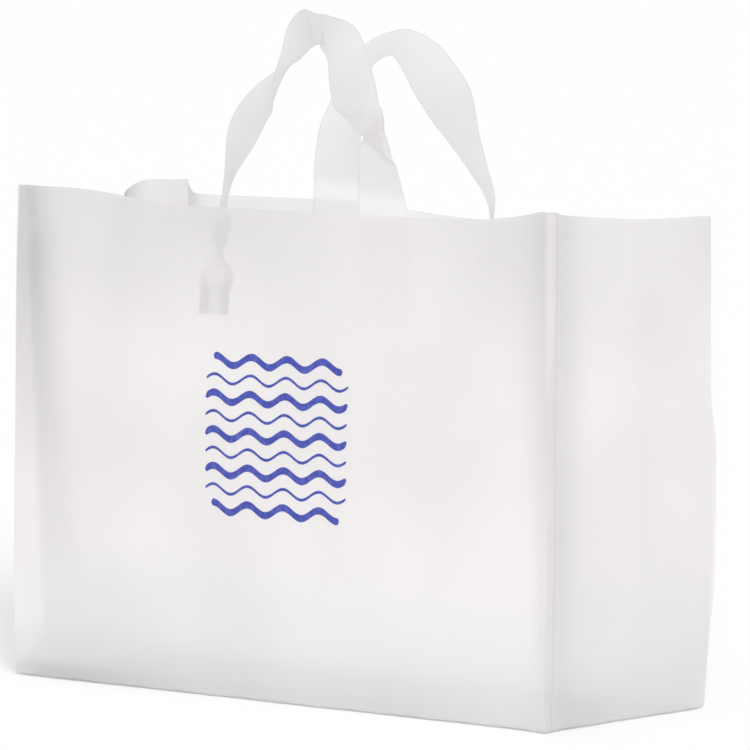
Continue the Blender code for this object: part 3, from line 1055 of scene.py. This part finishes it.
@dataclass
class RibbonHandle:
    """A soft film ribbon whose ends are heat welded flat inside one of the main walls."""

    name: str
    side_y: int
    bag: BagBody
    loop: Sequence[Station]
    painted_shade: Sequence[tuple[float, float]]
    left_hem: float = 0.0
    right_fold: float = 2.0
    ribbon_width: float = 0.0380
    span: float = 0.1270
    offset: float = 0.0165
    rise: float = 0.1040
    weld_drop: float = 0.0715
    weld_height: float = 0.0260
    gathered_height: float = 0.0140
    weld_gap: float = 0.0003
    roll_share: float = 0.26
    hem_roll: float = 0.03
    # Painted shade along the ribbon's two edges, where the film is seen edge on.
    painted_rim_shade: float = 0.22
    steps: int = 300
    across_steps: int = 28

    def foot(self, side: int, fold: float, hem: float) -> list[Station]:
        """The welded end of the ribbon.

        Args:
            side: The end, -1 left and 1 right.
            fold: Where across the ribbon its film is folded over.
            hem: How much of the ribbon each rolled edge takes.

        Returns:
            Three stations, from the lower edge up.
        """
        low = -self.weld_drop / self.rise
        weld_height = self.weld_height if hem == 0.0 else self.gathered_height
        high = -(self.weld_drop - weld_height) / self.rise
        shares = (0.0, 0.5, 1.0)
        return [Station(0.5 * side, mix(low, high, share), 0, 0, 0, 0, 1.0, fold, hem) for share in shares]

    def stations(self) -> list[Station]:
        """All stations, from the left weld to the right one.

        Returns:
            The stations in order.
        """
        left = self.foot(-1, 2.0, self.left_hem)
        right = self.foot(1, self.right_fold, 0.0)
        return left + list(self.loop) + right[::-1]

    def grey(self, share: float) -> float:
        """The painted shade along the ribbon.

        Args:
            share: The share of the way from the left end.

        Returns:
            The painted shade, from 0 to about 1.
        """
        before = max((pair for pair in self.painted_shade if pair[0] <= share), default=self.painted_shade[0])
        after = min((pair for pair in self.painted_shade if pair[0] > share), default=self.painted_shade[-1])
        if after[0] <= before[0]:
            return before[1] / SHADE_LEVELS
        return mix(before[1], after[1], ease(before[0], after[0], share)) / SHADE_LEVELS

    def section(self, v: Station) -> list[tuple[float, float]]:
        """The ribbon's cross-section, about its middle.

        Args:
            v: The station, with its curl, fold and hem.

        Returns:
            Pairs of steps along the width and behind it.
        """
        parts = 3 * self.across_steps
        length = self.ribbon_width * v.wide / parts
        points = [(0.0, 0.0)]
        for k in range(parts):
            share = (k + 0.5) / parts
            angle = math.radians(v.curl) * (share - 0.5)
            angle += math.pi * ease(v.fold - self.roll_share / 2, v.fold + self.roll_share / 2, share)
            if v.hem > 0.0:
                tight = min(self.hem_roll, v.hem)
                angle += math.pi * (1.0 - ease(v.hem - tight, v.hem + tight, share))
                angle -= math.pi * ease(1.0 - v.hem - tight, 1.0 - v.hem + tight, share)
            u, w = points[-1]
            points.append((u + length * math.cos(angle), w + length * math.sin(angle)))
        middle_u = sum(u for u, _ in points) / len(points)
        middle_w = sum(w for _, w in points) / len(points)
        return [(u - middle_u, w - middle_w) for u, w in points[::3]]

    def rows(self) -> list[list[Vector]]:
        """Rows of points across the ribbon, from its first weld to its last.

        Returns:
            The rows, each from edge to edge.
        """
        stations = self.stations()
        tracks = [[station[i] for station in stations] for i in range(len(Station._fields))]
        shift = -self.side_y * self.offset
        values = []
        for step in range(self.steps + 1):
            place = step / self.steps * (len(stations) - 1)
            values.append(Station(*(curve_value(track, place) for track in tracks)))
        middles = [
            Vector((shift + v.across * self.span, 0.0, self.bag.height + v.above * self.rise)) for v in values
        ]
        rows = []
        for number, v in enumerate(values):
            along = middles[min(number + 1, self.steps)] - middles[max(number - 1, 0)]
            turn, tilt = math.radians(v.turn), math.radians(v.tilt)
            width = Vector(
                (math.cos(tilt) * math.cos(turn), math.cos(tilt) * math.sin(turn), math.sin(tilt))
            )
            behind = width.cross(along).normalized()
            row = []
            for u, w in self.section(v):
                place = middles[number] + width * u + behind * w
                inset = max(v.inset * self.ribbon_width - self.side_y * place.y, self.weld_gap)
                place.y = self.bag.face_y(self.side_y, place.x, place.z) - self.side_y * inset
                row.append(place)
            rows.append(row)
        return rows

    def build(self, material: bpy.types.Material) -> bpy.types.Object:
        """Builds the ribbon as one sheet of film.

        Args:
            material: The ribbon's finish.

        Returns:
            The handle's object.
        """
        rows = self.rows()
        count = self.across_steps + 1
        points = [place for row in rows for place in row]
        shades = []
        for i in range(len(rows)):
            grey = self.grey(i / self.steps)
            # Painted shade along the ribbon, darker again along its two edges.
            shades += [grey + (self.painted_rim_shade if k in (0, count - 1) else 0.0) for k in range(count)]
        faces = []
        for i in range(len(rows) - 1):
            for k in range(count - 1):
                a = i * count + k
                faces.append((a, a + 1, a + count + 1, a + count))
        piece = make_object(self.name, points, faces, material, shades)
        LOG.info("%s: %d faces", self.name, len(faces))
        return piece


@dataclass
class WavePrint:
    """A plain block of blue waves printed on the front wall."""

    bag: BagBody
    middle_x: float = 0.0045
    middle_z: float = 0.1616
    width: float = 0.1080
    height: float = 0.1000
    corner: float = 0.0180
    bands: int = 9
    wave_length: float = 0.0270
    wave_rise: float = 0.0028
    thick: float = 0.0044
    thin: float = 0.0018
    lift: float = 0.00025
    steps: int = 120
    across_steps: int = 4

    def half_length(self, z: float) -> float:
        """Half of a band's length at a height from the block's middle, with the corners rounded."""
        past = max(0.0, abs(z) - (self.height / 2 - self.corner))
        return self.width / 2 - self.corner + math.sqrt(max(0.0, self.corner**2 - past**2))

    def build(self, material: bpy.types.Material) -> bpy.types.Object:
        """Builds the bands as one thin layer of ink on the film.

        Args:
            material: The ink's finish.

        Returns:
            The print's object.
        """
        points: list[Vector] = []
        faces: list[tuple] = []
        for band in range(self.bands):
            z = mix(-self.height / 2, self.height / 2, (band + 0.5) / self.bands)
            half = self.half_length(z)
            wide = self.thick if band % 2 == 0 else self.thin
            first = len(points)
            for step in range(self.steps + 1):
                x = mix(-half, half, step / self.steps)
                cap = max(0.0, 1.0 - (max(0.0, abs(x) - (half - wide / 2)) / (wide / 2)) ** 2)
                wave = self.wave_rise * math.sin(x / self.wave_length * 2 * math.pi)
                for k in range(self.across_steps + 1):
                    off = wide * math.sqrt(cap) * (k / self.across_steps - 0.5)
                    px, pz = self.middle_x + x, self.middle_z + z + wave + off
                    points.append(Vector((px, self.bag.face_y(-1, px, pz) - self.lift, pz)))
            row = self.across_steps + 1
            for step in range(self.steps):
                for k in range(self.across_steps):
                    a = first + step * row + k
                    faces.append((a, a + row, a + row + 1, a + 1))
        piece = make_object("wave_print", points, faces, material)
        LOG.info("wave_print: %d faces", len(faces))
        return piece


@dataclass
class Studio:
    """A white room: pale floor, soft light from all round and a broad key light from the right."""

    azimuth: float = 37.1915
    elevation: float = 4.07
    roll: float = 0.7057
    distance: float = 3.5
    focal_px: float = 5721.05
    aim: tuple[float, float] = (0.0102, 0.195)
    sensor_mm: float = 36.0
    room_level: float = 0.78
    key_level: float = 2.2
    key_azimuth: float = 45.0
    key_height: float = 28.0
    key_softness: float = 24.0

    def place_camera(self) -> bpy.types.Object:
        """Puts the camera where the photograph was taken from.

        Returns:
            The camera.
        """
        a, e, r = (math.radians(v) for v in (self.azimuth, self.elevation, self.roll))
        back = Vector((math.sin(a) * math.cos(e), -math.cos(a) * math.cos(e), math.sin(e)))
        right = Vector((math.cos(a), math.sin(a), 0.0))
        up = back.cross(right)
        right, up = right * math.cos(r) + up * math.sin(r), up * math.cos(r) - right * math.sin(r)
        along, height = self.aim
        aim = Vector((math.cos(a) * along, math.sin(a) * along, height))
        data = bpy.data.cameras.new("view")
        data.sensor_fit = "HORIZONTAL"
        data.sensor_width = self.sensor_mm
        data.lens = self.focal_px / IMAGE_SIDE * self.sensor_mm
        data.clip_end = 400.0
        camera = bpy.data.objects.new("view", data)
        bpy.context.collection.objects.link(camera)
        turned = Matrix((right, up, back)).transposed().to_4x4()
        camera.matrix_world = Matrix.Translation(aim + back * self.distance) @ turned
        bpy.context.scene.camera = camera
        return camera

    def lay_floor(self, material: bpy.types.Material) -> bpy.types.Object:
        """Lays the floor under the bag.

        Args:
            material: The floor's finish.

        Returns:
            The floor.
        """
        bpy.ops.object.select_all(action="DESELECT")
        bpy.ops.mesh.primitive_plane_add(size=240.0, location=(0.0, 0.0, 0.0))
        floor = bpy.context.active_object
        floor.name = "studio_floor"
        floor.data.materials.append(material)
        return floor

    def light(self) -> None:
        """Sets the room's light and the key light."""
        world = bpy.data.worlds.new("white_room")
        world.use_nodes = True
        tree = world.node_tree
        tree.nodes.clear()
        ground = add_node(
            tree, "ShaderNodeBackground", inputs={"Color": (1.0, 1.0, 1.0, 1.0), "Strength": self.room_level}
        )
        add_node(tree, "ShaderNodeOutputWorld", inputs={"Surface": ground.outputs["Background"]})
        bpy.context.scene.world = world
        key = bpy.data.lights.new("key", "SUN")
        key.energy = self.key_level
        key.angle = math.radians(self.key_softness)
        lamp = bpy.data.objects.new("key", key)
        bpy.context.collection.objects.link(lamp)
        turn, lift = math.radians(self.key_azimuth), math.radians(self.key_height)
        towards = Vector(
            (math.sin(turn) * math.cos(lift), -math.cos(turn) * math.cos(lift), math.sin(lift))
        )
        lamp.location = towards * 2.0
        lamp.rotation_euler = towards.to_track_quat("Z", "Y").to_euler()

    def set_view(self) -> None:
        """Keeps colours as measured, with no film curve."""
        bpy.context.scene.view_settings.view_transform = "Standard"
        bpy.context.scene.view_settings.look = "None"


def dress() -> None:
    """Builds the bag's pieces in order, and hangs each one on the frame."""
    wall_film = FrostedPolyethylene(
        name="frosted_polyethylene_wall",
        # Painted shade: the walls are tinted darker towards the mouth, and cooler at the foot.
        stops=((0.0, "F6F8F9"), (0.11, "F8F7F7"), (0.22, "F8F6F6"), (0.40, "F4F2F2"), (0.74, "F1EFF0")),
        glow_hex="FFFDFC",
    )
    handle_film = FrostedPolyethylene(
        name="frosted_polyethylene_handle",
        # Painted light: the ribbons are tinted lighter below the mouth, where the wall behind would shade
        # them, and lighter at the top of the loops.
        stops=((0.0, "FCFCFC"), (0.72, "FCFCFC"), (0.75, "F2F1F2"), (0.86, "F2F0F2"), (0.95, "F9F7F9")),
        glow_hex="FFFEFF",
        glow_share=0.64,
    )
    bag = BagBody()
    wall = wall_film.material()
    ribbon = handle_film.material()
    body = bag.build(wall)
    front_handle = RibbonHandle(
        "front_ribbon", -1, bag, FRONT_LOOP, FRONT_PAINTED_SHADE, left_hem=0.19, right_fold=-1.0
    )
    front = front_handle.build(ribbon)
    back = RibbonHandle("back_ribbon", 1, bag, BACK_LOOP, BACK_PAINTED_SHADE).build(ribbon)
    ink = WavePrint(bag).build(FlexoInk().material())
    for piece, node, slot in (
        (body, "bag_body", "frosted_film"),
        (front, "front_handle", "handle_film"),
        (back, "back_handle", "handle_film"),
    ):
        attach(piece, "root")
        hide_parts(node)
        LOG.info("%s stands for %s", piece.name, node)
    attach(ink, "root")


def main() -> None:
    """Makes the studio and the bag."""
    logging.basicConfig(level=logging.INFO, format="%(name)s: %(message)s")
    studio = Studio()
    studio.place_camera()
    studio.lay_floor(PaleFloor().material())
    studio.light()
    studio.set_view()
    dress()


if __name__ == "__main__":
    main()
